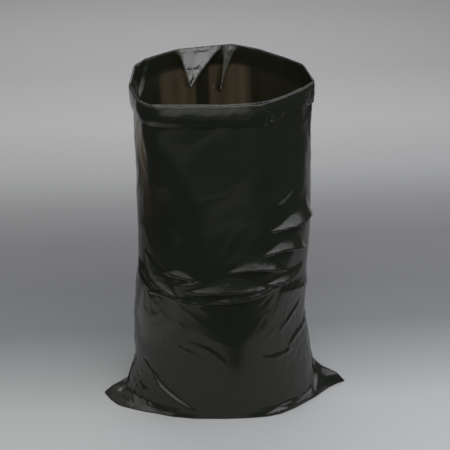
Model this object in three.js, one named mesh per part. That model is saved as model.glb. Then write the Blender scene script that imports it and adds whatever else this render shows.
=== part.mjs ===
import * as THREE from "three";
import { LoftGeometry } from "three/addons/geometries/LoftGeometry.js";

// A garden waste sack of black polyethylene film, standing open on the floor.
// It is one flat tube of film, heat-sealed along its bottom edge, so it has a soft crease down each
// side and two flat pointed corners, one at each end of the foot. The mouth is turned outwards and
// down into a cuff. Millimetres, +Z up. X runs along the bottom seam, and -Y is the front, where
// the mouth is lowest. The origin is on the floor, above the middle of the bottom seam.

// The flat sack
const FILM_WIDTH = 670; // between the two side creases
const FILM_LENGTH = 1120; // bottom seam to cut edge
const WALL = 2; // the real film is 0.06 mm: this wall stands for it

// The foot: where the film leaves the floor
const FOOT_FRONT = 181; // from the bottom seam to the front of the foot
const FOOT_BACK = 138; // from the bottom seam to the back of the foot
const BELLY_HEIGHT = 190; // the walls have swung out to their full depth here
const FLOOR_FILLET = 26; // inner round between the floor and the walls
const RIGHT_TIP_CURL = 5; // the right corner is drawn in by this much
const SEAM_END = 12; // the corners' tips run on past the line where the panels meet

// The mouth
const CUFF_DEPTH = 58; // width of the band that is turned out
const CUFF_GAP = 1.6; // between the cuff and the wall, just under the rim
const CUFF_FLARE = 4; // how much further the cuff's cut edge stands off
const RIM_ROUND = 3; // height of the soft bend at the top of the rim
const FRONT_SLACK = 16; // film taken up by the folds in the front wall
const BACK_SLACK = 4; // film taken up by the folds in the back wall
const MOUTH_START = 540; // the mouth's own shape fades out below this height

// The mouth seen from above, from the right crease round by the back and the left crease to the
// front. It is scaled to the film's width. The third value is the rim's height there, where 0 is
// the height of the rim's front and 1 that of its back.
const MOUTH = [
  [226, 0, 0.1],
  [208, 72, 0.5],
  [103, 160, 0.8],
  [35, 178, 1],
  [-110, 168, 0.85],
  [-223, 112, 0.42],
  [-238, 0, 0.14],
  [-224, -112, 0.03],
  [-200, -150, 0],
  [-150, -162, 0],
  [-25, -167, 0],
  [64, -164, 0],
  [100, -145, 0],
  [140, -106, 0.02],
  [186, -52, 0.06],
];

// The body, as sections at heights over the floor. left and right are the distances from the
// origin to the side creases, pinch is how pointed the section is at its creases (0.5 is an
// ellipse, 1 a pointed lens), and square is how flat its front and back are (2 is an ellipse).
const BODY = [
  { height: 0, left: 228, right: 218, pinch: 0.5, square: 2.5 },
  { height: 60, left: 240, right: 228, pinch: 0.5, square: 2.2 },
  { height: 120, left: 243, right: 231, pinch: 0.52, square: 2.1 },
  { height: 200, left: 247, right: 220, pinch: 0.52, square: 2.1 },
  { height: 240, left: 247, right: 212, pinch: 0.53, square: 2.1 },
  { height: 300, left: 243, right: 216, pinch: 0.53, square: 2.1 },
  { height: 385, left: 231, right: 219, pinch: 0.54, square: 2.1 },
  { height: 520, left: 233, right: 227, pinch: 0.55, square: 2.1 },
  { height: 800, left: 234, right: 226, pinch: 0.6, square: 2.2 },
];

// The two bottom corners: how far their ridges reach past the body at each height. pinch is how
// pointed the foot's outline is at the corner's tip.
const LEFT_CORNER = { top: 112, shoulder: 24, reachAtShoulder: 46, fall: 1.2, pinch: 0.68 };
const RIGHT_CORNER = { top: 72, shoulder: 26, reachAtShoulder: 84, fall: 1.3, pinch: 1.05 };

// Large folds, where the slack film has sunk onto itself. Each one is a ledge along a path over a
// panel: the film slopes out to the path from above and drops back in below it. A point of a path
// is [distance along the film from the left side crease, height over the floor, width of the slope].
const FOLDS = [
  { panel: "front", stand: 17, path: [[396, 535, 14], [480, 534, 38], [560, 518, 54], [636, 494, 20]] },
  { panel: "front", stand: 13, path: [[410, 460, 14], [484, 464, 24], [540, 446, 32], [592, 408, 14]] },
  { panel: "front", stand: 12, path: [[318, 416, 14], [400, 428, 30], [496, 402, 14]] },
  { panel: "front", stand: 12, path: [[408, 380, 14], [490, 374, 26], [568, 386, 14]] },
  { panel: "front", stand: 12, path: [[216, 358, 14], [332, 369, 34], [466, 361, 14]] },
  { panel: "front", stand: 8, path: [[280, 334, 14], [360, 342, 20], [470, 360, 14]] },
  { panel: "front", stand: 12, path: [[64, 430, 14], [96, 396, 30], [148, 358, 26], [198, 330, 14]] },
  { panel: "front", stand: 8, path: [[2, 390, 14], [60, 390, 14], [112, 378, 14], [150, 346, 14]] },
  { panel: "front", stand: 7, path: [[140, 400, 14], [199, 404, 18], [242, 394, 14]] },
  { panel: "back", stand: 12, path: [[50, 396, 14], [150, 386, 30], [262, 404, 14]] },
  { panel: "back", stand: 12, path: [[292, 346, 14], [400, 360, 32], [528, 344, 14]] },
  { panel: "back", stand: 12, path: [[462, 432, 14], [560, 446, 30], [648, 430, 14]] },
  { panel: "back", stand: 8, path: [[176, 312, 14], [280, 324, 22], [386, 310, 14]] },
  { panel: "back", stand: 9, path: [[84, 464, 14], [170, 480, 24], [266, 462, 14]] },
];
const FOLD_DROP = 20; // width of the film's way back in below a ledge

// The dent in the back of the mouth: a flat triangle from the rim down to a point, pressed in there
const DENT = { left: 246, right: 366, top: 868, tip: 266, bottom: 774, depth: 44, margin: 24 };

// Mesh density
const COLUMNS = 72; // round the sack, a multiple of 4
const ARC_SAMPLES = 64; // points used to measure one panel of a section
const FOOT_LEVELS = [0, 8, 16, 26, 42, 60, 84, 110]; // sections near the floor
const FOLD_LEVELS = [304, 320, 334, 346, 358, 370, 382, 400, 416, 432, 450, 466, 488, 512, 534, 552];
const LEVEL_STEP = 36; // between the sections elsewhere

const frontRim = FILM_LENGTH - CUFF_DEPTH - FOOT_FRONT - FRONT_SLACK;
const backRim = FILM_LENGTH - CUFF_DEPTH - FOOT_BACK - BACK_SLACK;
const half = FILM_WIDTH / 2;

// A smooth step from 0 at a to 1 at b
const ease = (a, b, value) => THREE.MathUtils.smoothstep(value, a, b);
const mix = THREE.MathUtils.lerp;

const BODY_KEYS = ["left", "right", "pinch", "square"];
const stations = new THREE.CubicInterpolant(
  BODY.map((station) => station.height),
  BODY.flatMap((station) => BODY_KEYS.map((key) => station[key])),
  BODY_KEYS.length,
);

// The body's section at a height, smoothly mixed from the stations round it.
function bodyAt(height) {
  const [left, right, pinch, square] = stations.evaluate(height);
  return { left, right, pinch, square };
}

// The mouth as one ring of points that lie evenly along the rim. z is the rim's height.
function mouthRing() {
  const curve = new THREE.CatmullRomCurve3(
    MOUTH.map(([x, y, rise]) => new THREE.Vector3(x, y, mix(frontRim, backRim, rise))),
    true,
  );
  const fit = (2 * FILM_WIDTH) / curve.getLength();
  const ring = curve.getSpacedPoints(COLUMNS).slice(0, COLUMNS);
  return ring.map((point) => new THREE.Vector3(point.x * fit, point.y * fit, point.z));
}

const mouth = mouthRing();

// How far a corner's ridge stands past the body: long on the floor, gone at its top.
function cornerReach(corner, tipReach, height) {
  if (height >= corner.top) return 0;
  if (height <= corner.shoulder) {
    return mix(tipReach, corner.reachAtShoulder, height / corner.shoulder);
  }
  const climbed = (height - corner.shoulder) / (corner.top - corner.shoulder);
  return corner.reachAtShoulder * (1 - climbed) ** corner.fall;
}

// One panel of a section from its right crease to its left one, as points of unit depth.
function panelPoint(section, turn) {
  const c = Math.cos(turn);
  const reach = c > 0 ? section.right : section.left;
  const pinch = c > 0 ? section.pinchRight : section.pinchLeft;
  return { x: reach * c, fullness: Math.max(0, 1 - Math.abs(c) ** section.square) ** pinch };
}

// Lengths along a panel of the given depth, at ARC_SAMPLES even turns.
function panelArc(section, depth) {
  const arc = [0];
  let last = panelPoint(section, 0);
  for (let i = 1; i <= ARC_SAMPLES; i++) {
    const next = panelPoint(section, (i / ARC_SAMPLES) * Math.PI);
    const step = Math.hypot(next.x - last.x, (next.fullness - last.fullness) * depth);
    arc.push(arc[i - 1] + step);
    last = next;
  }
  return arc;
}

// The film doesn't stretch, so a panel is as deep as its width between the creases allows.
function depthOfFilm(section) {
  let [low, high] = [0, FILM_WIDTH];
  for (let i = 0; i < 24; i++) {
    const middle = (low + high) / 2;
    if (panelArc(section, middle).at(-1) < FILM_WIDTH) low = middle;
    else high = middle;
  }
  return low;
}

// The turn that lies a share of the way along a panel's arc.
function turnAt(arc, share) {
  const wanted = share * arc.at(-1);
  const i = Math.max(1, arc.findIndex((length) => length >= wanted - 1e-9));
  const part = (wanted - arc[i - 1]) / (arc[i] - arc[i - 1]);
  return ((i - 1 + THREE.MathUtils.clamp(part, 0, 1)) / ARC_SAMPLES) * Math.PI;
}

// A column's panel, and its place along the panel's width from the right crease, 0 to 1.
function placeOf(column) {
  const turn = (2 * column) / COLUMNS;
  return turn < 1 ? { panel: "back", share: turn } : { panel: "front", share: 2 - turn };
}

// The body's outline at a height, as one ring of points: from the right crease over the back to
// the left crease, and over the front back to the right one. The corners can be left out.
function outline(height, withCorners) {
  const { left, right, pinch, square } = bodyAt(height);
  const foot = bodyAt(0);
  const spare = { left: half - foot.left, right: half - RIGHT_TIP_CURL - foot.right };
  const reach = {
    left: withCorners ? cornerReach(LEFT_CORNER, spare.left, height) : 0,
    right: withCorners ? cornerReach(RIGHT_CORNER, spare.right, height) : 0,
  };
  const section = {
    left: left + reach.left,
    right: right + reach.right,
    pinchLeft: mix(pinch, LEFT_CORNER.pinch, reach.left / spare.left),
    pinchRight: mix(pinch, RIGHT_CORNER.pinch, reach.right / spare.right),
    square,
  };
  const full = depthOfFilm({ left, right, pinchLeft: pinch, pinchRight: pinch, square });
  const swing = 1 - Math.max(0, 1 - height / BELLY_HEIGHT) ** 2;
  const depths = { front: mix(FOOT_FRONT, full, swing), back: mix(FOOT_BACK, full, swing) };
  const arcs = {
    front: panelArc(section, depths.front),
    back: panelArc(section, depths.back),
  };
  return Array.from({ length: COLUMNS }, (_, j) => {
    const { panel, share } = placeOf(j);
    const { x, fullness } = panelPoint(section, turnAt(arcs[panel], share));
    const y = depths[panel] * fullness;
    return new THREE.Vector2(x, panel === "back" ? y : -y);
  });
}

// The ring's outward directions.
function outwards(ring) {
  return ring.map((_, j) => {
    const before = ring.at(j - 1);
    const after = ring[(j + 1) % ring.length];
    return new THREE.Vector2(after.y - before.y, before.x - after.x).normalize();
  });
}

// Where a place on a panel lies from a fold's path: how far above it, how far along it as a share,
// and how wide the slope is there.
function besidePath(path, across, up) {
  let nearest = { distance: Infinity };
  for (let i = 1; i < path.length; i++) {
    const [a, b] = [path[i - 1], path[i]];
    const [dx, dy] = [b[0] - a[0], b[1] - a[1]];
    const along = ((across - a[0]) * dx + (up - a[1]) * dy) / (dx * dx + dy * dy);
    const part = THREE.MathUtils.clamp(along, 0, 1);
    const [gapX, gapY] = [across - mix(a[0], b[0], part), up - mix(a[1], b[1], part)];
    const distance = Math.hypot(gapX, gapY);
    if (distance >= nearest.distance) continue;
    const above = distance * Math.sign(dx * gapY - dy * gapX);
    nearest = { distance, above, share: (i - 1 + part) / (path.length - 1), width: mix(a[2], b[2], part) };
  }
  return nearest;
}

// How far the folds push the film out at a column and height.
function foldRise(column, height) {
  const { panel, share } = placeOf(column);
  const fromLeft = (1 - share) * FILM_WIDTH;
  let rise = 0;
  for (const fold of FOLDS.filter((each) => each.panel === panel)) {
    const at = besidePath(fold.path, fromLeft, height);
    const strength = Math.sin(Math.PI * at.share) ** 0.7;
    const slope = Math.max(0, 1 - at.above / (at.width * (0.25 + 0.75 * strength)));
    const drop = Math.max(0, 1 + at.above / FOLD_DROP);
    rise += fold.stand * strength * (at.above >= 0 ? slope ** 1.6 : drop);
  }
  return panel === "back" ? rise - dentDepth(fromLeft, height) : rise;
}

// How far the dent presses the back in: nothing at the rim, most at the triangle's tip.
function dentDepth(fromLeft, height) {
  const down = (DENT.top - height) / (DENT.top - DENT.bottom);
  const [left, right] = [mix(DENT.left, DENT.tip, down), mix(DENT.right, DENT.tip, down)];
  const beside = Math.max(left - fromLeft, fromLeft - right, 0);
  const below = Math.max(0, DENT.bottom - height);
  const fade = Math.max(0, 1 - Math.hypot(beside, below) / DENT.margin) ** 1.2;
  return DENT.depth * THREE.MathUtils.clamp(down, 0, 1) * fade;
}

// One section of the sack's skin. height is measured as if the whole rim were as low as its front,
// and offset is how far the skin stands out from the film's outer face.
function section({ height, offset = 0, withCorners = true, folded = true }) {
  const likeMouth = ease(MOUTH_START, frontRim, height);
  const ring = outline(height, withCorners).map((point, j) => point.lerp(mouth[j], likeMouth));
  const normals = outwards(ring);
  return ring.map((point, j) => {
    const rise = folded ? foldRise(j, height) : 0;
    const skin = point.addScaledVector(normals[j], offset + rise);
    return new THREE.Vector3(skin.x, skin.y, height + (mouth[j].z - frontRim) * likeMouth);
  });
}

// Where the front and back panels meet under the sack: a ring folded flat onto the seam's line.
function seamSection(height, left, right) {
  return Array.from({ length: COLUMNS }, (_, j) => {
    const share = Math.abs(1 - (2 * j) / COLUMNS);
    return new THREE.Vector3(mix(-left, right, share), 0, height);
  });
}

// The wall's levels from one height to another: close together near the floor and in the folds.
function levelsBetween(bottom, top) {
  const levels = FOOT_LEVELS.filter((height) => height >= bottom);
  const climb = (goal, gap) => {
    const start = levels.at(-1);
    const count = Math.ceil((goal - start) / gap);
    for (let i = 1; i <= count; i++) levels.push(mix(start, goal, i / count));
  };
  climb(FOLD_LEVELS[0], LEVEL_STEP);
  levels.push(...FOLD_LEVELS.slice(1));
  climb(DENT.bottom - DENT.margin, LEVEL_STEP);
  climb(top, DENT.margin);
  return levels;
}

// The outer face, from the floor to just under the cuff's roll.
function outerSections() {
  const seam = seamSection(0, half - SEAM_END, half - RIGHT_TIP_CURL - SEAM_END);
  const levels = levelsBetween(0, frontRim - CUFF_DEPTH);
  levels.push(frontRim - CUFF_DEPTH / 2, frontRim - RIM_ROUND - WALL);
  return [seam, ...levels.map((height) => section({ height }))];
}

// The cuff: up into the roll, down its inner face, round the cut edge and back up to the rim.
function cuffSections() {
  const path = [
    { drop: WALL, offset: CUFF_GAP / 2 },
    { drop: WALL + RIM_ROUND, offset: CUFF_GAP },
    { drop: CUFF_DEPTH / 2, offset: CUFF_GAP + CUFF_FLARE / 2 },
    { drop: CUFF_DEPTH, offset: CUFF_GAP + CUFF_FLARE },
    { drop: CUFF_DEPTH, offset: CUFF_GAP + CUFF_FLARE + WALL },
    { drop: CUFF_DEPTH / 2, offset: CUFF_GAP + CUFF_FLARE / 2 + WALL },
    { drop: RIM_ROUND, offset: CUFF_GAP + WALL },
    { drop: 0, offset: (CUFF_GAP + WALL) / 2 },
    { drop: 0, offset: -WALL / 2 },
    { drop: RIM_ROUND, offset: -WALL },
  ];
  return path.map(({ drop, offset }) => section({ height: frontRim - drop, offset }));
}

// The inner face, from the rim down to the inner floor. The corners hold no hollow.
function innerSections() {
  const filletTop = WALL + FLOOR_FILLET;
  const wall = levelsBetween(filletTop, frontRim - CUFF_DEPTH);
  const levels = [filletTop, ...wall, frontRim - CUFF_DEPTH / 2].reverse();
  const inside = (height, inset = 0) =>
    section({ height, offset: -WALL - inset, withCorners: false, folded: height > LEFT_CORNER.top });
  const foot = bodyAt(0);
  return [
    ...levels.map((height) => inside(height)),
    inside(WALL + FLOOR_FILLET * 0.3, FLOOR_FILLET * 0.3),
    inside(WALL, FLOOR_FILLET),
    seamSection(WALL, foot.left - 2 * FLOOR_FILLET, foot.right - 2 * FLOOR_FILLET),
  ];
}

function makeSack() {
  const film = new THREE.MeshStandardMaterial({
    name: "black film",
    color: new THREE.Color(0.017, 0.018, 0.016),
    roughness: 0.3,
    metalness: 0,
  });
  const skin = new LoftGeometry([...outerSections(), ...cuffSections(), ...innerSections()]);
  const sack = new THREE.Mesh(skin, film);
  sack.name = "film_sack";
  return sack;
}

const gardenWasteBag = new THREE.Group();
gardenWasteBag.name = "garden_waste_bag";
gardenWasteBag.add(makeSack());

export default gardenWasteBag;
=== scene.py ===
# %% [markdown]
# # A black film sack, standing open
# The real sack is one flat tube of thin black polyethylene, welded across the bottom. Somebody has
# opened it, turned its mouth out into a cuff and stood it on the floor. Everything that the eye reads
# in it is the same film: the way that it folds, and what its gloss picks up from the studio.
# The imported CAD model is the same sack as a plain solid. Here the film is drawn again as one thin
# skin, with all of its folds.

# %% Load the frame
import math
import bpy
import numpy as np
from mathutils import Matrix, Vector, noise


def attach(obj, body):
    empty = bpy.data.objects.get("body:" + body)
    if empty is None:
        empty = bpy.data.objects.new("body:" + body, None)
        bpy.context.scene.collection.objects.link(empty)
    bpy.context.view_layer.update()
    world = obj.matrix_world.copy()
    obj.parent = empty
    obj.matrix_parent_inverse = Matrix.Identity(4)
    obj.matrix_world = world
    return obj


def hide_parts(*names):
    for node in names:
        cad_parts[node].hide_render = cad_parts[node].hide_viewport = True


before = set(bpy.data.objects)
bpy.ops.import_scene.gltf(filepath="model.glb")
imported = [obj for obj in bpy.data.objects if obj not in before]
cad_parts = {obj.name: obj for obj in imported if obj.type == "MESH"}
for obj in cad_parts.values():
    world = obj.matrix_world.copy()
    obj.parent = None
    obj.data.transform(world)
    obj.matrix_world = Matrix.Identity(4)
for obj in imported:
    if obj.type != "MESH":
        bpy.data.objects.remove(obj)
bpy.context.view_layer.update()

# %% [markdown]
# ## Measuring along the film
# Film doesn't stretch, so every place on it has a fixed address: how far it is along the film from
# the left crease, and how high it stands. The tube has a front panel and a back panel of the same
# width. All of the shape below is worked out on one grid of such addresses, a column for each
# upright line of film. A grid is the natural mesh for a sheet, and it is simple to press folds into.

# %% The film's grid
FILM_WIDTH = 0.67
MM_PER_M = 1000
COLUMNS = 432
HALF = COLUMNS // 2

turn = 2 * np.arange(COLUMNS) / COLUMNS
on_back = turn < 1
from_right = np.where(on_back, turn, 2 - turn)
along = (1 - from_right) * FILM_WIDTH
print(COLUMNS, "columns, each", round(MM_PER_M * 2 * FILM_WIDTH / COLUMNS, 1), "mm of film")


def mix(a, b, share):
    """a where the share is 0, b where it is 1, and between them in between."""
    return a + (b - a) * share


def ease(a, b, value):
    """A smooth step from 0 at a to 1 at b."""
    t = np.clip((value - a) / (b - a), 0, 1)
    return t * t * (3 - 2 * t)


# %% [markdown]
# ## The mouth and the foot seen from above
# Two closed lines hold the sack's shape: the rim of the mouth, and the line where the film leaves
# the floor. Stiff film makes straight stretches with tight corners, so each line is drawn through a
# few corners, which are then rounded a little. A spline would look too soft here.

# %% Closed lines with tight corners
MOUTH_FRONT = [
    (-0.238, 0, 0.872), (-0.222, -0.114, 0.866), (-0.202, -0.152, 0.865), (-0.117, -0.163, 0.865),
    (-0.026, -0.170, 0.865), (0.062, -0.167, 0.865), (0.096, -0.151, 0.866), (0.139, -0.112, 0.867),
    (0.184, -0.061, 0.869), (0.226, 0, 0.870),
]
MOUTH_BACK = [
    (0.226, 0, 0.870), (0.206, 0.072, 0.894), (0.171, 0.122, 0.898), (0.103, 0.158, 0.914),
    (0.036, 0.176, 0.925), (-0.111, 0.172, 0.914), (-0.187, 0.142, 0.902), (-0.223, 0.112, 0.892),
    (-0.238, 0, 0.872),
]
FOOT_FRONT = [
    (-0.335, 0, 0), (-0.318, -0.047, 0), (-0.297, -0.084, 0), (-0.269, -0.103, 0),
    (-0.235, -0.124, 0), (-0.193, -0.143, 0), (-0.160, -0.162, 0), (-0.100, -0.180, 0),
    (-0.018, -0.189, 0), (0.048, -0.191, 0), (0.098, -0.187, 0), (0.134, -0.174, 0),
    (0.173, -0.147, 0), (0.210, -0.113, 0), (0.237, -0.089, 0), (0.283, -0.036, 0),
    (0.314, -0.011, 0), (0.337, 0, 0),
]
FOOT_BACK = [
    (0.337, 0, 0), (0.312, 0.035, 0), (0.262, 0.080, 0), (0.170, 0.120, 0), (0.060, 0.139, 0),
    (-0.060, 0.140, 0), (-0.180, 0.118, 0), (-0.262, 0.080, 0), (-0.303, 0.038, 0), (-0.335, 0, 0),
]


def evenly(corners, count):
    """count points, evenly spaced, on the line through the corners. The last corner is left out."""
    corners = np.array(corners, float)
    steps = np.linalg.norm(np.diff(corners[:, :2], axis=0), axis=1)
    length = np.concatenate([[0], np.cumsum(steps)])
    places = np.arange(count) / count * length[-1]
    return np.stack([np.interp(places, length, corners[:, k]) for k in range(3)], 1)


def rounded(ring, soften):
    """The ring with its corners rounded over a distance in metres, by a bell-shaped average."""
    step = np.linalg.norm(np.roll(ring, -1, 0) - ring, axis=1).mean()
    reach = int(3 * soften / step) + 1
    offsets = np.arange(-reach, reach + 1)
    weights = np.exp(-0.5 * (offsets * step / soften) ** 2)
    weights /= weights.sum()
    return sum(w * np.roll(ring, -k, 0) for k, w in zip(offsets, weights))


def closed_line(back, front, soften):
    """One ring from the right crease over the back to the left crease, and back over the front."""
    there = evenly(back, HALF)
    here = evenly(front, HALF)
    return rounded(np.concatenate([there, here]), soften)


FRONT_RIM = 0.865
RIM_CORNERS = 0.007
FOOT_CORNERS = 0.006
mouth = closed_line(MOUTH_BACK, MOUTH_FRONT, RIM_CORNERS)
foot = closed_line(FOOT_BACK, FOOT_FRONT, FOOT_CORNERS)
print("rim", round(mouth[:, 2].min(), 3), "to", round(mouth[:, 2].max(), 3), "m high")

# %% [markdown]
# ## The body between them
# Between foot and mouth the sack is a tube that has been pushed open: an oval that is more pointed
# at its two creases. Its width is read off the outline at a few heights. Its depth isn't free,
# because the panel between the creases is always as wide as the film, so the depth is solved for.

# %% Sections of the body
# Each section is (height, reach to the left, reach to the right, pinch at the creases)
SECTIONS = [
    (0, 0.240, 0.232, 0.50), (0.060, 0.243, 0.238, 0.50), (0.108, 0.243, 0.234, 0.52),
    (0.153, 0.246, 0.227, 0.52), (0.200, 0.247, 0.219, 0.52), (0.225, 0.247, 0.213, 0.53),
    (0.245, 0.246, 0.211, 0.53), (0.280, 0.243, 0.216, 0.53), (0.340, 0.238, 0.218, 0.54),
    (0.385, 0.231, 0.219, 0.54), (0.440, 0.230, 0.224, 0.55), (0.512, 0.233, 0.226, 0.56),
    (0.600, 0.234, 0.228, 0.58), (0.700, 0.234, 0.227, 0.60), (0.806, 0.235, 0.226, 0.62),
]
HEIGHTS, LEFT, RIGHT, PINCH = zip(*SECTIONS)
# How flat the front and back are: 2, with a pinch of 0.5, makes an ellipse
SQUARE = 2.15
# A section is an average over this much height each way, so that the list's steps don't show as
# bands in the gloss
BLEND = 0.028
PANEL_POINTS = 361
HALVINGS = 22


def panel_line(left, right, pinch, depth, shares):
    """Points on an oval panel, at shares of its length from the right crease, and its length."""
    c = np.cos(np.linspace(0, np.pi, PANEL_POINTS))
    x = np.where(c > 0, right, left) * c
    y = depth * (1 - np.abs(c) ** SQUARE) ** pinch
    length = np.concatenate([[0], np.cumsum(np.hypot(np.diff(x), np.diff(y)))])
    places = shares * length[-1]
    return np.interp(places, length, x), np.interp(places, length, y), length[-1]


def body_ring(height):
    """The body's outline at a height, with the depth that the film's width allows."""
    nearby = height + np.linspace(-BLEND, BLEND, 9)
    left, right, pinch = (np.interp(nearby, HEIGHTS, row).mean() for row in (LEFT, RIGHT, PINCH))
    shallow, deep = 0.05, 0.40
    for _ in range(HALVINGS):
        depth = (shallow + deep) / 2
        if panel_line(left, right, pinch, depth, from_right)[2] < FILM_WIDTH:
            shallow = depth
        else:
            deep = depth
    x, y, _ = panel_line(left, right, pinch, depth, from_right)
    return np.stack([x, np.where(on_back, y, -y)], 1)


print("depth at half height", round(np.ptp(body_ring(FRONT_RIM / 2)[:, 1]), 3), "m")

# %% [markdown]
# ## Out of the corners
# Near the floor the two creases run out into flat pointed corners. At a crease the film climbs
# slowly, as a ridge, and beside it the film slopes down to the floor.

# %% From the foot to the body
RIDGE_HEIGHTS = [0, 0.003, 0.015, 0.026, 0.045, 0.070, 0.110]
LEFT_RIDGE = [0, 0.03, 0.19, 0.62, 0.74, 0.82, 1]
RIGHT_RIDGE = [0, 0.02, 0.12, 0.22, 0.62, 0.93, 1]
SLOPE_HEIGHTS = [0, 0.006, 0.012, 0.026, 0.070, 0.110, 0.150]
SLOPE = [0, 0.20, 0.38, 0.61, 0.83, 0.95, 1]
RIDGE_WIDTH = 0.055

# 1 at the side creases, and 0 away from them
near_crease = np.exp(-((np.minimum(along, FILM_WIDTH - along) / RIDGE_WIDTH) ** 2))
# 0 on the left of the sack, and 1 on the right
rightness = ease(0.30, 0.70, 1 - from_right)


def above_foot(height):
    """How far each column has gone from the foot's line to the body, 0 to 1."""
    left, right = (np.interp(height, RIDGE_HEIGHTS, row) for row in (LEFT_RIDGE, RIGHT_RIDGE))
    ridge = mix(left, right, rightness)
    slope = np.interp(height, SLOPE_HEIGHTS, SLOPE)
    return mix(slope, ridge, near_crease)


print("the corners are gone at", max(RIDGE_HEIGHTS[-1], SLOPE_HEIGHTS[-1]), "m")

# %% [markdown]
# ## Rows of film
# The sheet is built row by row, in the order that a finger would follow it: from the cut edge of
# the cuff up over the rim, down the wall, round the foot, and under it to the weld.

# %% Rows of the wall
# Nothing of the mouth's own shape is left below this height
MOUTH_START = 0.50
# How far the left crease is drawn out at the rim, and the height where that begins
LEFT_PULL = 0.003
PULL_START = 0.805
LEFT_REACH = 0.24


def plan_normals(ring):
    """Level directions that point out of a ring."""
    ahead = np.roll(ring[:, :2], -1, 0) - np.roll(ring[:, :2], 1, 0)
    out = np.stack([ahead[:, 1], -ahead[:, 0]], 1)
    return out / np.linalg.norm(out, axis=1, keepdims=True)


def wall_row(height):
    """The wall at a height that is measured as if the rim were level, with its outward directions."""
    like_mouth = ease(MOUTH_START, FRONT_RIM, height)
    ring = mix(body_ring(height), mouth[:, :2], like_mouth)
    ring = mix(foot[:, :2], ring, above_foot(height)[:, None])
    leftmost = np.clip(-ring[:, 0] / LEFT_REACH, 0, 1) ** 10
    ring[:, 0] -= LEFT_PULL * ease(PULL_START, FRONT_RIM, height) * leftmost
    z = height + (mouth[:, 2] - FRONT_RIM) * like_mouth
    return np.column_stack([ring, z]), plan_normals(ring)


def spread(start, stop, step):
    """Heights from start up to, and without, stop."""
    return list(np.arange(start, stop - step / 2, step))


# The rows are closest together at the floor and where the film folds
wall_heights = spread(0, 0.020, 0.0025) + spread(0.020, 0.120, 0.004) + spread(0.120, 0.190, 0.005)
wall_heights += spread(0.190, 0.320, 0.0048) + spread(0.320, 0.556, 0.0030)
wall_heights += spread(0.556, 0.740, 0.0085) + spread(0.740, 0.862, 0.0050)
wall_heights = wall_heights[::-1]
print(len(wall_heights), "rows in the wall")

# %% [markdown]
# ## The cuff
# The cuff rolls over the rim and hangs down outside. At the front left it stands off the wall in a
# soft bulge, and at the right its corner is rounder than the wall's behind it. Its cut edge comes
# back to the wall.

# %% Rows of the cuff
CUFF_FRONT = 0.058
CUFF_BACK = 0.048
# Radius of the roll over the rim
ROLL = 0.0028
CUFF_CORNER = 0.022
# How far the cuff stands off the wall, by the share of its depth that it has hung down
CUFF_DROPS = [0, 0.08, 0.20, 0.35, 0.52, 0.75, 1.0]
FRONT_STAND_OFF = [0, 0.0014, 0.0034, 0.0058, 0.0076, 0.0062, 0.0008]
PLAIN_STAND_OFF = [0, 0.0010, 0.0020, 0.0026, 0.0026, 0.0016, -0.0010]
roundness = ease(0.50, 0.80, along / FILM_WIDTH)
bulging = np.where(on_back, 0, ease(0.04, 0.30, along / FILM_WIDTH) * (1 - roundness))


def cuff_row(share):
    """The cuff, a share of the way from the rim to its cut edge."""
    plain, full = (np.interp(share, CUFF_DROPS, row) for row in (PLAIN_STAND_OFF, FRONT_STAND_OFF))
    stand_off = mix(plain, full, bulging)
    deep_place, deep_normal = wall_row(FRONT_RIM - share * CUFF_FRONT)
    slim_place, slim_normal = wall_row(FRONT_RIM - share * CUFF_BACK)
    back_share = ease(0.0, 1.0, np.where(on_back, np.sin(np.pi * from_right), 0))[:, None]
    place = mix(deep_place, slim_place, back_share)
    normal = mix(deep_normal, slim_normal, back_share)
    softer = ease(0.0, 0.5, share) * ease(0.06, 0.20, 1 - from_right) * ease(1.0, 0.9, 1 - from_right)
    place[:, :2] += (rounded(place, CUFF_CORNER) - place)[:, :2] * np.where(on_back, 0, softer)[:, None]
    place[:, :2] += normal * (2 * ROLL + stand_off)[:, None]
    return place, normal


print("the cuff is", CUFF_FRONT, "m deep in front and", CUFF_BACK, "m behind")

# %% [markdown]
# ## All the rows together
# The rows are stacked from the cuff's cut edge down to the weld. The film under the sack lies flat.

# %% Stack the rows
SKIN_LIFT = 0.0004
CUFF_ROWS = 17
CUFF_TOP = 0.045
ROLL_ROWS = 7
rows = []
for share in np.linspace(1, CUFF_TOP, CUFF_ROWS):
    rows.append((*cuff_row(share), FRONT_RIM - share * CUFF_FRONT))
for angle in np.linspace(0, np.pi, ROLL_ROWS):
    place, normal = wall_row(FRONT_RIM - ROLL)
    place[:, :2] += normal * ROLL * (1 + np.cos(angle))
    place[:, 2] += ROLL * np.sin(angle)
    rows.append((place, normal, FRONT_RIM))
for height in wall_heights:
    rows.append((*wall_row(height), height))
seam = foot.copy()
seam[:, 1] = 0
for share in (0.04, 0.3, 0.65, 1):
    rows.append((mix(foot, seam, share), np.zeros((COLUMNS, 2)), 0))

place = np.stack([row[0] for row in rows])
place[..., 2] += SKIN_LIFT
normal = np.stack([np.column_stack([row[1], np.zeros(COLUMNS)]) for row in rows])
level = np.array([row[2] for row in rows])
print(len(rows), "rows,", 2 * (len(rows) - 1) * COLUMNS, "triangles")

# %% [markdown]
# ## Folds where the film slumps
# Halfway up, the film has sunk onto itself. Each fold there is a lens: its upper face slopes out
# to a sharp lower edge, and under the edge the film tucks back in. A fold is drawn as a stroke
# through addresses on the film, in millimetres, with a width on each side and a height. A cloth
# simulation would give folds too, but not in the places where the real sack has them.

# %% Strokes
address_s = np.broadcast_to(along * MM_PER_M, (len(rows), COLUMNS))
address_h = np.broadcast_to(level[:, None] * MM_PER_M, (len(rows), COLUMNS))
# A stroke is worked out this many of its widths away
STROKE_REACH = 2.5
print("addresses run to", round(address_s.max()), "mm along and", round(address_h.max()), "mm up")


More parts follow.
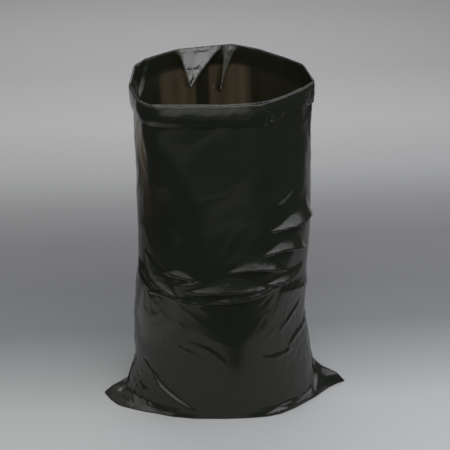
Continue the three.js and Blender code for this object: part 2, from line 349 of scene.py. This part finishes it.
def curve_through(points, count=33):
    """A smooth curve through a few points, which may carry more values than two."""
    points = np.array(points, float)
    ends = np.concatenate([[2 * points[0] - points[1]], points, [2 * points[-1] - points[-2]]])
    samples = []
    for t in np.linspace(0, len(points) - 1, count):
        i = min(int(t), len(points) - 2)
        f = t - i
        a, b, c, d = ends[i : i + 4]
        square, cube = 2 * a - 5 * b + 4 * c - d, 3 * b - a - 3 * c + d
        samples.append(0.5 * (2 * b + (c - a) * f + square * f**2 + cube * f**3))
    return np.array(samples)


def stroke_field(panel, points, taper=0.7):
    """For every place on the film: its distance from the stroke, left of it positive, the values
    that the stroke carries there, and how much of the stroke's strength is left near its ends."""
    line = curve_through(points)
    widest = np.abs(line[:, 2:4]).max() * STROKE_REACH
    inside = (address_s > line[:, 0].min() - widest) & (address_s < line[:, 0].max() + widest)
    inside &= (address_h > line[:, 1].min() - widest) & (address_h < line[:, 1].max() + widest)
    inside &= on_back[None, :] == (panel == "back")
    at = np.stack([address_s[inside], address_h[inside]], 1)
    best = np.full(len(at), np.inf)
    side = np.zeros(len(at))
    share = np.zeros(len(at))
    for i, (a, b) in enumerate(zip(line[:-1, :2], line[1:, :2])):
        step = b - a
        t = np.clip(((at - a) @ step) / (step @ step), 0, 1)
        gap = at - (a + t[:, None] * step)
        distance = np.hypot(*gap.T)
        nearer = distance < best
        best = np.where(nearer, distance, best)
        turned = step[0] * gap[:, 1] - step[1] * gap[:, 0]
        side = np.where(nearer, np.sign(turned) * distance, side)
        share = np.where(nearer, (i + t) / (len(line) - 1), share)
    marks = np.linspace(0, 1, len(line))
    carried = np.stack([np.interp(share, marks, line[:, k]) for k in (2, 3)], 1)
    ends = np.sin(np.pi * np.clip(share, 0.0, 1.0)) ** taper
    return inside, side, carried, ends


# %% [markdown]
# ## Ledges and creases
# A ledge is a slumped fold, with its sharp lower edge sagging a little over the film below it. A
# crease is a plain ridge or valley. Both also mark the film near them as crumpled, for later.

# %% Ledges and creases
# How far each place is pushed out and how far it sags, in millimetres, and how crumpled it is: 0 is
# smooth, and 1 is crumpled
push = np.zeros(address_s.shape)
sag = np.zeros(address_s.shape)
crumple = np.zeros(address_s.shape)
# How much of a tuck's width the edge sags by
SAG_SHARE = 0.85
# A fold's width at its two tips, as a share of its width in the middle
TIP_WIDTH = 0.25
LEDGE_CRUMPLE = 0.25
CREASE_CRUMPLE = 0.35
# Above 1, a crease's sides are hollow and its top is sharp
HOLLOW = 1.5


def ledge(panel, points, height, taper=0.7, bend=1.6):
    """A slumped fold. Each point is (along, up, width of the slope, width tucked under it)."""
    inside, side, width, ends = stroke_field(panel, points, taper)
    narrow = mix(TIP_WIDTH, 1, ends)
    above = np.clip(1 - side / (width[:, 0] * narrow), 0, 1)
    below = np.clip(1 + side / (width[:, 1] * narrow), 0, 1)
    push[inside] += height * ends * np.where(side >= 0, above**bend, below)
    sag[inside] += SAG_SHARE * width[:, 1] * narrow * ends * np.where(side >= 0, above**2, below)
    near = np.clip(1 - np.abs(side) / (2 * width[:, 0]), 0, 1)
    crumple[inside] = np.maximum(crumple[inside], LEDGE_CRUMPLE * ends * near)


def crease(panel, points, height, taper=0.5):
    """A sharp ridge, or a valley where height is negative. Its two sides may differ in width."""
    inside, side, width, ends = stroke_field(panel, points, taper)
    reach = np.where(side >= 0, width[:, 0], width[:, 1])
    push[inside] += height * ends * np.clip(1 - np.abs(side) / reach, 0, 1) ** HOLLOW
    near = np.clip(1 - np.abs(side) / (2 * reach), 0, 1)
    crumple[inside] = np.maximum(crumple[inside], CREASE_CRUMPLE * ends * near)


print(push.size, "places to fold")

# %% [markdown]
# ## The right of the front
# The film has slumped most on the right, in a stack of lenses that point to the middle. Their upper
# faces catch the lights in front, and what hangs below their edges stays black.

# %% Slumped folds on the right
ledge("front", [(436, 524, 6, 6), (506, 530, 30, 9), (580, 532, 50, 10), (644, 524, 16, 5)], 16)
ledge("front", [(430, 594, 8, 12), (486, 612, 24, 14), (552, 634, 8, 12)], 5, taper=1.0)
ledge("front", [(410, 460, 6, 5), (478, 472, 27, 8), (540, 460, 22, 9), (596, 432, 6, 6)], 12)
ledge("front", [(318, 421, 6, 5), (400, 434, 30, 9), (496, 406, 8, 5)], 12)
ledge("front", [(420, 378, 6, 5), (500, 386, 24, 8), (572, 406, 10, 6)], 12)
ledge("front", [(216, 364, 8, 5), (332, 375, 34, 9), (466, 366, 8, 5)], 12)
ledge("front", [(280, 340, 6, 5), (360, 348, 20, 8), (470, 365, 6, 5)], 8)
print("the folds stand out by up to", round(push.max()), "mm")

# %% [markdown]
# ## The left of the front
# On the left the folds open like a fan from the side crease. The broad one comes down from the
# crease towards the middle, and small ones lie to its right.

# %% The fan of folds on the left
ledge("front", [(62, 440, 18, 5), (104, 398, 38, 8), (146, 370, 34, 8), (194, 344, 6, 5)], 17, taper=0.5)
ledge("front", [(4, 402, 5, 4), (40, 392, 9, 6), (84, 378, 8, 6), (132, 350, 5, 4)], 7)
ledge("front", [(10, 384, 4, 4), (46, 364, 6, 6), (96, 340, 4, 4)], 5)
ledge("front", [(98, 334, 5, 5), (150, 346, 9, 7), (200, 336, 5, 5)], 6)
ledge("front", [(140, 405, 5, 4), (199, 409, 18, 7), (242, 399, 6, 4)], 8)
ledge("front", [(184, 375, 5, 4), (226, 386, 14, 7), (262, 400, 5, 4)], 7)
ledge("front", [(180, 340, 5, 4), (224, 336, 14, 6), (268, 334, 5, 4)], 6)
print("the fan's film sags by up to", round(sag[address_s < 268].max()), "mm")

# %% [markdown]
# ## Low on the front
# Below the waist the film is pulled tight over the belly, in streaks that run down to the middle.

# %% Streaks over the belly
crease("front", [(470, 350, 24, 34), (556, 338, 30, 44), (650, 326, 24, 36)], 8, taper=0.8)
crease("front", [(664, 232, 14, 10), (600, 214, 14, 10), (546, 203, 14, 9), (505, 176, 10, 8)], 4)
crease("front", [(574, 300, 14, 9), (524, 267, 14, 9), (480, 232, 12, 8)], 4)
crease("front", [(540, 174, 12, 9), (471, 164, 13, 9), (420, 170, 10, 8)], 4)
crease("front", [(140, 198, 14, 9), (205, 199, 14, 9), (275, 168, 10, 8)], 2.5)
crease("front", [(215, 216, 14, 9), (276, 203, 14, 9), (325, 160, 10, 8)], 2.5)
print("the streaks below the waist stand out by", round(push[address_h < 300].max(), 1), "mm")

# %% [markdown]
# ## The corners
# A hard crease with a valley beside it runs from the left corner to the front of the foot. The
# corners themselves are pinched flat by short valleys, and at the right the film turns under.

# %% Creases of the corners
crease("front", [(108, 116, 4, 4), (140, 77, 4, 4.5), (189, 47, 4, 4.5), (246, 19, 4, 4)], 4.5)
crease("front", [(112, 121, 8, 4), (147, 83, 12, 4), (195, 53, 12, 4), (249, 26, 8, 4)], -6)
crease("front", [(24, 124, 6, 6), (84, 133, 8, 8), (118, 108, 6, 6)], -4)
crease("front", [(30, 128, 8, 8), (10, 80, 8, 10), (20, 30, 9, 10), (62, 6, 7, 8)], -8)
crease("front", [(47, 22, 5, 6), (80, 15, 5, 6), (100, 8, 5, 6)], 4)
crease("front", [(648, 124, 9, 9), (633, 84, 10, 10), (614, 44, 10, 10), (578, 14, 8, 8)], -14)
crease("front", [(596, 30, 4, 9), (565, 13, 5, 10), (520, 7, 5, 10), (440, 5, 4, 8)], 5)
ledge("front", [(425, 4, 8, 3), (466, 11, 14, 4), (520, 13, 14, 4), (570, 9, 8, 3)], 10)
crease("front", [(600, 46, 5, 4), (560, 24, 7, 4), (508, 16, 7, 4), (450, 14, 5, 4)], -5)
print("the deepest valley is", round(-push.min()), "mm")

# %% [markdown]
# ## Inside the mouth
# The back wall has a flat triangle pressed into it at the rim, and a narrower one beside it. They
# are the brightest film of all, because they lean back and face the light over the camera.

# %% Dents in the back of the mouth
FACET_CRUMPLE = 0.7


def facet(panel, corners, margin):
    """A flat triangle of film. Each corner is (along, up, how far it stands out)."""
    corners = np.array(corners, float)
    low, high = corners[:, :2].min(0) - margin, corners[:, :2].max(0) + margin
    inside = (address_s > low[0]) & (address_s < high[0]) & (address_h > low[1]) & (address_h < high[1])
    inside &= on_back[None, :] == (panel == "back")
    at = np.stack([address_s[inside], address_h[inside]], 1)
    (ax, ay), (bx, by), (cx, cy) = corners[:, :2]
    double = (bx - ax) * (cy - ay) - (cx - ax) * (by - ay)
    wb = ((at[:, 0] - ax) * (cy - ay) - (cx - ax) * (at[:, 1] - ay)) / double
    wc = ((bx - ax) * (at[:, 1] - ay) - (at[:, 0] - ax) * (by - ay)) / double
    wa = 1 - wb - wc
    value = wa * corners[0, 2] + wb * corners[1, 2] + wc * corners[2, 2]
    outside = (wa < 0) | (wb < 0) | (wc < 0)
    best = np.full(len(at), np.inf)
    edge_value = np.zeros(len(at))
    for k in range(3):
        a, b = corners[k], corners[(k + 1) % 3]
        step = b[:2] - a[:2]
        t = np.clip(((at - a[:2]) @ step) / (step @ step), 0, 1)
        distance = np.hypot(*(at - (a[:2] + t[:, None] * step)).T)
        edge_value = np.where(distance < best, a[2] + t * (b[2] - a[2]), edge_value)
        best = np.minimum(best, distance)
    fall = np.where(outside, np.clip(1 - best / margin, 0, 1) ** HOLLOW, 1)
    push[inside] += np.where(outside, edge_value, value) * fall
    crumple[inside] = np.maximum(crumple[inside], FACET_CRUMPLE * fall)


facet("back", [(246, 868, 2), (366, 868, 2), (266, 774, -54)], 12)
crease("back", [(238, 800, 8, 8), (258, 776, 9, 8), (288, 800, 8, 8)], -6)
facet("back", [(374, 872, 2), (406, 872, 2), (350, 758, -40)], 11)
crease("back", [(330, 752, 8, 10), (349, 761, 9, 11), (368, 753, 8, 10)], -9)
crease("back", [(150, 868, 14, 14), (133, 820, 14, 14), (112, 780, 12, 12)], 8)
print("the dents go in by", round(-push.min()), "mm")

# %% [markdown]
# ## The back
# The back can't be seen in the photograph. It has slumped in the same way, a little less.

# %% Slumped folds on the back
ledge("back", [(50, 402, 8, 5), (150, 392, 30, 9), (262, 410, 8, 5)], 12)
ledge("back", [(292, 352, 8, 5), (400, 366, 32, 9), (528, 350, 8, 5)], 12)
ledge("back", [(462, 438, 8, 5), (560, 452, 30, 9), (648, 436, 8, 5)], 12)
ledge("back", [(176, 318, 6, 5), (280, 330, 22, 8), (386, 316, 6, 5)], 8)
ledge("back", [(84, 470, 6, 5), (170, 486, 24, 8), (266, 468, 6, 5)], 9)
print(round(100 * (push != 0).mean()), "percent of the grid's places are folded")

# %% [markdown]
# ## The rest of the film
# Between the folds the film is never flat. It has slack that shows as broad soft waves, fine ridges
# that run the way it was pulled, and crinkles where it has been squeezed. They are drawn from
# seeded noise in space, so they run on across the side creases.

# %% Noise along the film
# Each seed reads the noise this far from the one before
SEED_STEP = 7.31
# Noise further from 0 than this makes no ridge
CREST = 0.35


def field(seed, direction, long, short):
    """Noise in space that is stretched along one direction."""
    main = Vector(direction).normalized()
    side = main.cross((0, 1, 0)).normalized()
    third = main.cross(side)
    axes = np.array([main / long, side / short, third / short]).T
    points = place.reshape(-1, 3) @ axes + seed * SEED_STEP
    return np.array([noise.noise(point) for point in points.tolist()]).reshape(address_s.shape)


def ridges(*how):
    """The same noise folded, so that it has sharp crests."""
    return np.clip(CREST - np.abs(field(*how)), 0, 1) / CREST


print("seeds read the noise", SEED_STEP, "of its cells apart")

# %% [markdown]
# ## Where each kind of noise goes
# Each mask says how strong its noise is at every place: 0 is none, and 1 is full strength. The dents
# in the cuff go beyond that.

# %% Masks
front = np.where(on_back, 0.0, 1.0)[None, :]
s, h = address_s, address_h


def patch(centre_s, centre_h, half_width, half_height):
    """A soft round patch about an address."""
    return np.exp(-(((s - centre_s) / half_width) ** 2) - ((h - centre_h) / half_height) ** 2)


below_waist = ease(20, 90, h) * ease(400, 330, h)
right_pull = ease(350, 520, s) * below_waist
left_pull = ease(380, 250, s) * below_waist
skirt = ease(230, 120, s + h) * ease(2, 20, h)
cuff_dents = (1.8 * patch(470, 815, 36, 34) + 1.44 * patch(600, 822, 50, 30)) * front
mouth_dents = (patch(262, 795, 34, 40) + 0.7 * patch(590, 790, 60, 50)) * (1 - front)
right_crease = 0.6 * ease(640, 670, s) * ease(420, 480, h)
for dents in (cuff_dents, mouth_dents, right_crease):
    crumple = np.maximum(crumple, dents)
print(round(100 * (crumple > 0.1).mean()), "percent of the grid's places are crumpled")

# %% [markdown]
# ## Press the noise in
# Broad slack comes first, then ridges along each pull, then the crinkles. All heights are in
# millimetres, and the noise's own sizes in metres.

# %% Waves, ridges and crinkles
push += 4.0 * field(1, (0, 0.2, 1), 0.26, 0.17) * ease(4, 90, h)
push += 3.2 * field(9, (0.7, 0, 0.7), 0.12, 0.075) * ease(380, 500, h)
push += 1.0 * ridges(2, (0.8, 0, 0.6), 0.16, 0.060) * ease(300, 420, h)
push += 1.2 * ridges(3, (0.66, 0, 0.75), 0.12, 0.026) * right_pull
push += 0.6 * ridges(4, (0.93, 0, -0.36), 0.13, 0.034) * left_pull * front
push += 1.5 * ridges(5, (0.6, 0, 0.8), 0.14, 0.034) * below_waist * (1 - front)
push += 1.5 * ridges(6, (0.55, 0, -0.83), 0.10, 0.014) * skirt
push += 1.7 * ridges(7, (1, 0, 0.2), 0.016, 0.011) * crumple
push += 0.5 * ridges(8, (1, 0, 0.4), 0.050, 0.020) * ease(760, 865, h)

place[..., :2] += normal[..., :2] * push[..., None] / MM_PER_M
place[..., 2] -= sag / MM_PER_M
print("pushed from", round(push.min()), "to", round(push.max()), "mm")

# %% [markdown]
# ## One skin
# The grid is closed round the sack, and its last row is welded to itself. The sheet has no
# thickness, like the film, which is far thinner than anything that could be seen.

# %% Skin the grid
def skin(name, place):
    """One quad mesh over the grid. The last row is the weld, where front and back are one line."""
    count = len(place)
    index = np.arange(count * COLUMNS).reshape(count, COLUMNS)
    # At the weld, a column of the front is the same point as its partner on the back
    partner = (COLUMNS - np.arange(COLUMNS)) % COLUMNS
    index[-1] = np.where(np.arange(COLUMNS) > HALF, index[-1][partner], index[-1])
    quads = np.stack([index[:-1], np.roll(index[:-1], -1, 1), np.roll(index[1:], -1, 1), index[1:]], -1)
    mesh = bpy.data.meshes.new(name)
    mesh.from_pydata(place.reshape(-1, 3), [], quads.reshape(-1, 4).tolist())
    mesh.validate()
    mesh.shade_smooth()
    sheet = bpy.data.objects.new(name, mesh)
    bpy.context.collection.objects.link(sheet)
    return sheet


sack = skin("sack", place)
print("sack:", len(sack.data.vertices), "points and", len(sack.data.polygons), "quads")

# %% [markdown]
# ## The film's look
# The film is glossy and nearly black, with a faint green cast. It isn't quite opaque: where one
# layer of it hangs against the light, in the back of the mouth, near the left crease and in a small
# facet of the fan, it glows brown. That glow is painted light: a share of translucent film, painted
# on the grid in stripes and patches where the glow shows.

# %% Where the film glows
# A faint share of translucent film on the whole back, and painted glow in stripes across the mouth
stripe = ease(180, 196, s) * ease(292, 284, s) + ease(318, 330, s) * ease(442, 425, s)
# Within a painted stripe the glow is uneven
wavy = 0.75 + 0.25 * np.sin(s / 7.3 + 2 * np.sin(s / 23)) * np.sin(s / 17.9)
painted_glow = (1 - front) * (0.02 + 0.17 * stripe * wavy)
# Painted glow: patches of translucent film by the left crease and in a facet of the fan
painted_glow += 0.30 * ease(122, 92, s) * ease(30, 58, s) * ease(360, 430, h) * ease(800, 780, h) * front
painted_glow += 0.30 * ease(24, 44, s) * ease(142, 122, s) * ease(338, 350, h) * ease(394, 382, h) * front
attribute = sack.data.attributes.new("painted_glow", "FLOAT", "POINT")
attribute.data.foreach_set("value", painted_glow.ravel())
print("the film is up to", round(100 * painted_glow.max()), "percent translucent")

# %% [markdown]
# ## The film as a material
# A glossy dark plastic shader is mixed with a translucent one, by the share that was just painted.

# %% Film
film = bpy.data.materials.new("black film")
film.use_nodes = True
nodes, links = film.node_tree.nodes, film.node_tree.links
shader = nodes["Principled BSDF"]
shader.inputs["Base Color"].default_value = (0.0090, 0.0108, 0.0062, 1)
shader.inputs["Roughness"].default_value = 0.20
glow = nodes.new("ShaderNodeBsdfTranslucent")
glow.inputs["Color"].default_value = (0.40, 0.30, 0.18, 1)
# The painted glow, as the share of translucent film
share = nodes.new("ShaderNodeAttribute")
share.attribute_name = "painted_glow"
blend = nodes.new("ShaderNodeMixShader")
links.new(share.outputs["Fac"], blend.inputs["Fac"])
links.new(shader.outputs["BSDF"], blend.inputs[1])
links.new(glow.outputs["BSDF"], blend.inputs[2])
links.new(blend.outputs["Shader"], nodes["Material Output"].inputs["Surface"])
sack.data.materials.append(film)
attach(sack, "root")
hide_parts("film_sack")
print("the film's roughness is", round(shader.inputs["Roughness"].default_value, 2))

# %% [markdown]
# ## The studio floor
# The sack stands on pale paper, with shade painted into its colour: it gets darker behind the sack
# and bright again far off. A colour ramp does that: the painted shade goes by how far behind it lies.
# does that: the paper's tone goes by how far behind the sack it lies.

# %% Paper
NEAREST, FARTHEST = -1, 5
paper = bpy.data.materials.new("pale floor")
paper.use_nodes = True
paper_nodes, paper_links = paper.node_tree.nodes, paper.node_tree.links
paper_shader = paper_nodes["Principled BSDF"]
paper_shader.inputs["Roughness"].default_value = 0.9
paper_shader.inputs["Specular IOR Level"].default_value = 0.1
where = paper_nodes.new("ShaderNodeTexCoord")
split = paper_nodes.new("ShaderNodeSeparateXYZ")
depth = paper_nodes.new("ShaderNodeMapRange")
depth.inputs["From Min"].default_value = NEAREST
depth.inputs["From Max"].default_value = FARTHEST
# Painted shade: a ramp that darkens the paper behind the sack and brightens it again far off
painted_shade = paper_nodes.new("ShaderNodeValToRGB")
# Each stop is (distance behind the middle of the sack, colour with the painted shade in it)
PAINTED_PAPER_SHADE = [
    (-1, 0.48, 0.487, 0.487), (-0.1, 0.44, 0.447, 0.447), (0.15, 0.33, 0.336, 0.34),
    (0.4, 0.225, 0.229, 0.234), (0.7, 0.205, 0.208, 0.213), (1.1, 0.221, 0.223, 0.227),
    (1.4, 0.280, 0.281, 0.284), (1.8, 0.425, 0.427, 0.427), (2.4, 0.55, 0.552, 0.55),
    (3.2, 0.60, 0.602, 0.60), (4.1, 0.78, 0.783, 0.778), (4.6, 0.87, 0.873, 0.868),
]
stops = painted_shade.color_ramp.elements
while len(stops) < len(PAINTED_PAPER_SHADE):
    stops.new(1)
for stop, (distance, *colour) in zip(stops, PAINTED_PAPER_SHADE):
    stop.position = (distance - NEAREST) / (FARTHEST - NEAREST)
    stop.color = (*colour, 1)
paper_links.new(where.outputs["Object"], split.inputs["Vector"])
paper_links.new(split.outputs["Y"], depth.inputs["Value"])
paper_links.new(depth.outputs["Result"], painted_shade.inputs["Fac"])
paper_links.new(painted_shade.outputs["Color"], paper_shader.inputs["Base Color"])
print(len(stops), "shades of paper")

# %% [markdown]
# ## A line across the floor
# Black gloss shows mostly what it mirrors, so the floor close in front is kept out of reflections:
# the dark V on the front of the sack is the mirror image of that gap. The paper is laid as two
# panels that meet in a line, and the gloss sees only the one behind the line.

# %% The two floors
def stage_panel(name, corners, glossy):
    """A level panel on the floor, which the gloss sees or doesn't."""
    mesh = bpy.data.meshes.new(name)
    mesh.from_pydata([(x, y, 0) for x, y in corners], [], [list(range(len(corners)))])
    panel = bpy.data.objects.new(name, mesh)
    bpy.context.collection.objects.link(panel)
    mesh.materials.append(paper)
    panel.visible_glossy = glossy
    return panel


FAR = 14
EDGE = [
    (-FAR, 9), (-1.6, 2.8), (-1.05, 1.1), (-1.0, -0.2), (-0.85, -0.5), (-0.52, -0.68), (-0.24, -0.64),
    (-0.08, -0.53), (0.04, -0.40), (0.18, -0.52), (0.42, -0.60), (0.8, -0.46), (1.2, -0.1), (1.6, 0.7),
    (2.6, 2.6), (FAR, 9),
]
stage_panel("floor", [(-FAR, FAR), *EDGE, (FAR, FAR)], True)
stage_panel("floor_front", [*EDGE, (FAR, -FAR), (-FAR, -FAR)], False)
print("the floor is", 2 * FAR, "m wide")

# %% [markdown]
# ## Two cards for reflections
# Two cards lie on the floor and are seen by the gloss alone. A grey one far out in front gives the
# upper wall its faint sheen, and a white one at the left brightens the left of the belly.

# %% Cards
CARD_LIFT = 0.002
CARD_CORNERS = [(-1.2, -2.1), (1.2, -2.1), (1.5, -3.7), (-1.5, -3.7)]
FILL_CORNERS = [(-0.62, -0.58), (-0.55, 0.1), (-0.6, 0.5), (-0.92, 0.6), (-0.95, -0.72)]
card = stage_panel("card", CARD_CORNERS, True)
grey = bpy.data.materials.new("grey card")
grey.use_nodes = True
grey.node_tree.nodes["Principled BSDF"].inputs["Base Color"].default_value = (0.30, 0.30, 0.29, 1)
grey.node_tree.nodes["Principled BSDF"].inputs["Roughness"].default_value = 0.9
card.data.materials[0] = grey
fill = stage_panel("fill card", FILL_CORNERS, True)
white = grey.copy()
white.name = "white card"
white.node_tree.nodes["Principled BSDF"].inputs["Base Color"].default_value = (0.62, 0.625, 0.60, 1)
fill.data.materials[0] = white
for panel in (card, fill):
    panel.location.z = CARD_LIFT
    panel.visible_camera = False
    panel.visible_diffuse = False
    panel.visible_shadow = False
print("cards:", card.name, "and", fill.name)

# %% [markdown]
# ## Lights
# A ring of softboxes stands round the sack in two tiers, brightest on the right. The folds mirror
# the ring, and the dents in the mouth mirror the light high in front. A weak light hangs overhead,
# and one more is for the paper behind.

# %% Lights
def softbox(name, spot, aim, width, height, radiance, colour):
    """A rectangular light that looks equally bright however large it is."""
    light = bpy.data.lights.new(name, "AREA")
    light.shape = "RECTANGLE"
    light.size, light.size_y = width, height
    light.energy = radiance * math.pi * width * height
    light.color = colour
    lamp = bpy.data.objects.new(name, light)
    lamp.location = spot
    lamp.rotation_euler = (Vector(aim) - Vector(spot)).to_track_quat("-Z", "Y").to_euler()
    lamp.visible_camera = False
    bpy.context.collection.objects.link(lamp)


WHITE, WARM, COOL = (1, 1, 1), (0.99, 1, 0.96), (0.94, 0.94, 1)
RING_AIM = (0, 0, 0.5)
# Each tier is (name, distance from the sack, height, width and height of a softbox)
LOW_TIER = ("low softbox", 3.0, 1.55, 1.85, 0.95)
HIGH_TIER = ("high softbox", 2.8, 2.65, 1.75, 1.45)
# Each pair of softboxes is (azimuth from the front in degrees, brightness below, brightness above,
# colour)
for azimuth, low, high, colour in [
    (-168, 0.15, 0.25, WHITE), (-130, 0.2, 0.3, WHITE), (-92, 0.7, 0.9, WARM), (-58, 0.9, 1.3, WARM),
    (-24, 0.7, 1.5, WARM), (10, 0.7, 1.9, WHITE), (44, 1.5, 2.3, COOL), (78, 1.5, 2.3, COOL),
    (112, 0.8, 1.0, COOL), (146, 0.15, 0.25, WHITE),
]:
    angle = math.radians(azimuth)
    out = Vector((math.sin(angle), -math.cos(angle), 0))
    for (name, distance, up, width, height), radiance in ((LOW_TIER, low), (HIGH_TIER, high)):
        softbox(name, distance * out + Vector((0, 0, up)), RING_AIM, width, height, radiance, colour)
softbox("top", (0.1, -2.1, 3.3), (0, 0, 0.4), 1.8, 1.1, 5.4, (0.97, 0.97, 1))
softbox("over", (0.0, -0.4, 4.0), (0, 0, 0.0), 2.0, 2.0, 0.6, WHITE)
softbox("behind", (0, 2.6, 3.4), (0, 2.2, 0), 3.4, 1.6, 3, WHITE)
print(len(bpy.data.lights), "lights")

# %% [markdown]
# ## The room
# A dim even grey stands for the rest of the room.

# %% Room
world = bpy.data.worlds.new("studio")
bpy.context.scene.world = world
world.use_nodes = True
world.node_tree.nodes["Background"].inputs["Color"].default_value = (0.05, 0.05, 0.055, 1)
print("room:", world.name)

# %% [markdown]
# ## Camera
# The photograph was taken with a long lens, from a little left of the front and looking down.

# %% Camera
AZIMUTH, ELEVATION = math.radians(-5.8), math.radians(21.2)
DISTANCE = 4.25
FIELD_OF_VIEW = math.radians(16)
TARGET = Vector((-0.0008, 0, 0.4785))
to_camera = Vector((
    math.sin(AZIMUTH) * math.cos(ELEVATION),
    -math.cos(AZIMUTH) * math.cos(ELEVATION),
    math.sin(ELEVATION),
))
lens = bpy.data.cameras.new("camera")
lens.sensor_width = 36
lens.angle = FIELD_OF_VIEW
lens.clip_end = 60
camera = bpy.data.objects.new("camera", lens)
camera.location = TARGET + to_camera * DISTANCE
camera.rotation_euler = to_camera.to_track_quat("Z", "Y").to_euler()
bpy.context.collection.objects.link(camera)
bpy.context.scene.camera = camera
bpy.context.scene.view_settings.view_transform = "Standard"
print("the camera is at", tuple(round(c, 2) for c in camera.location))
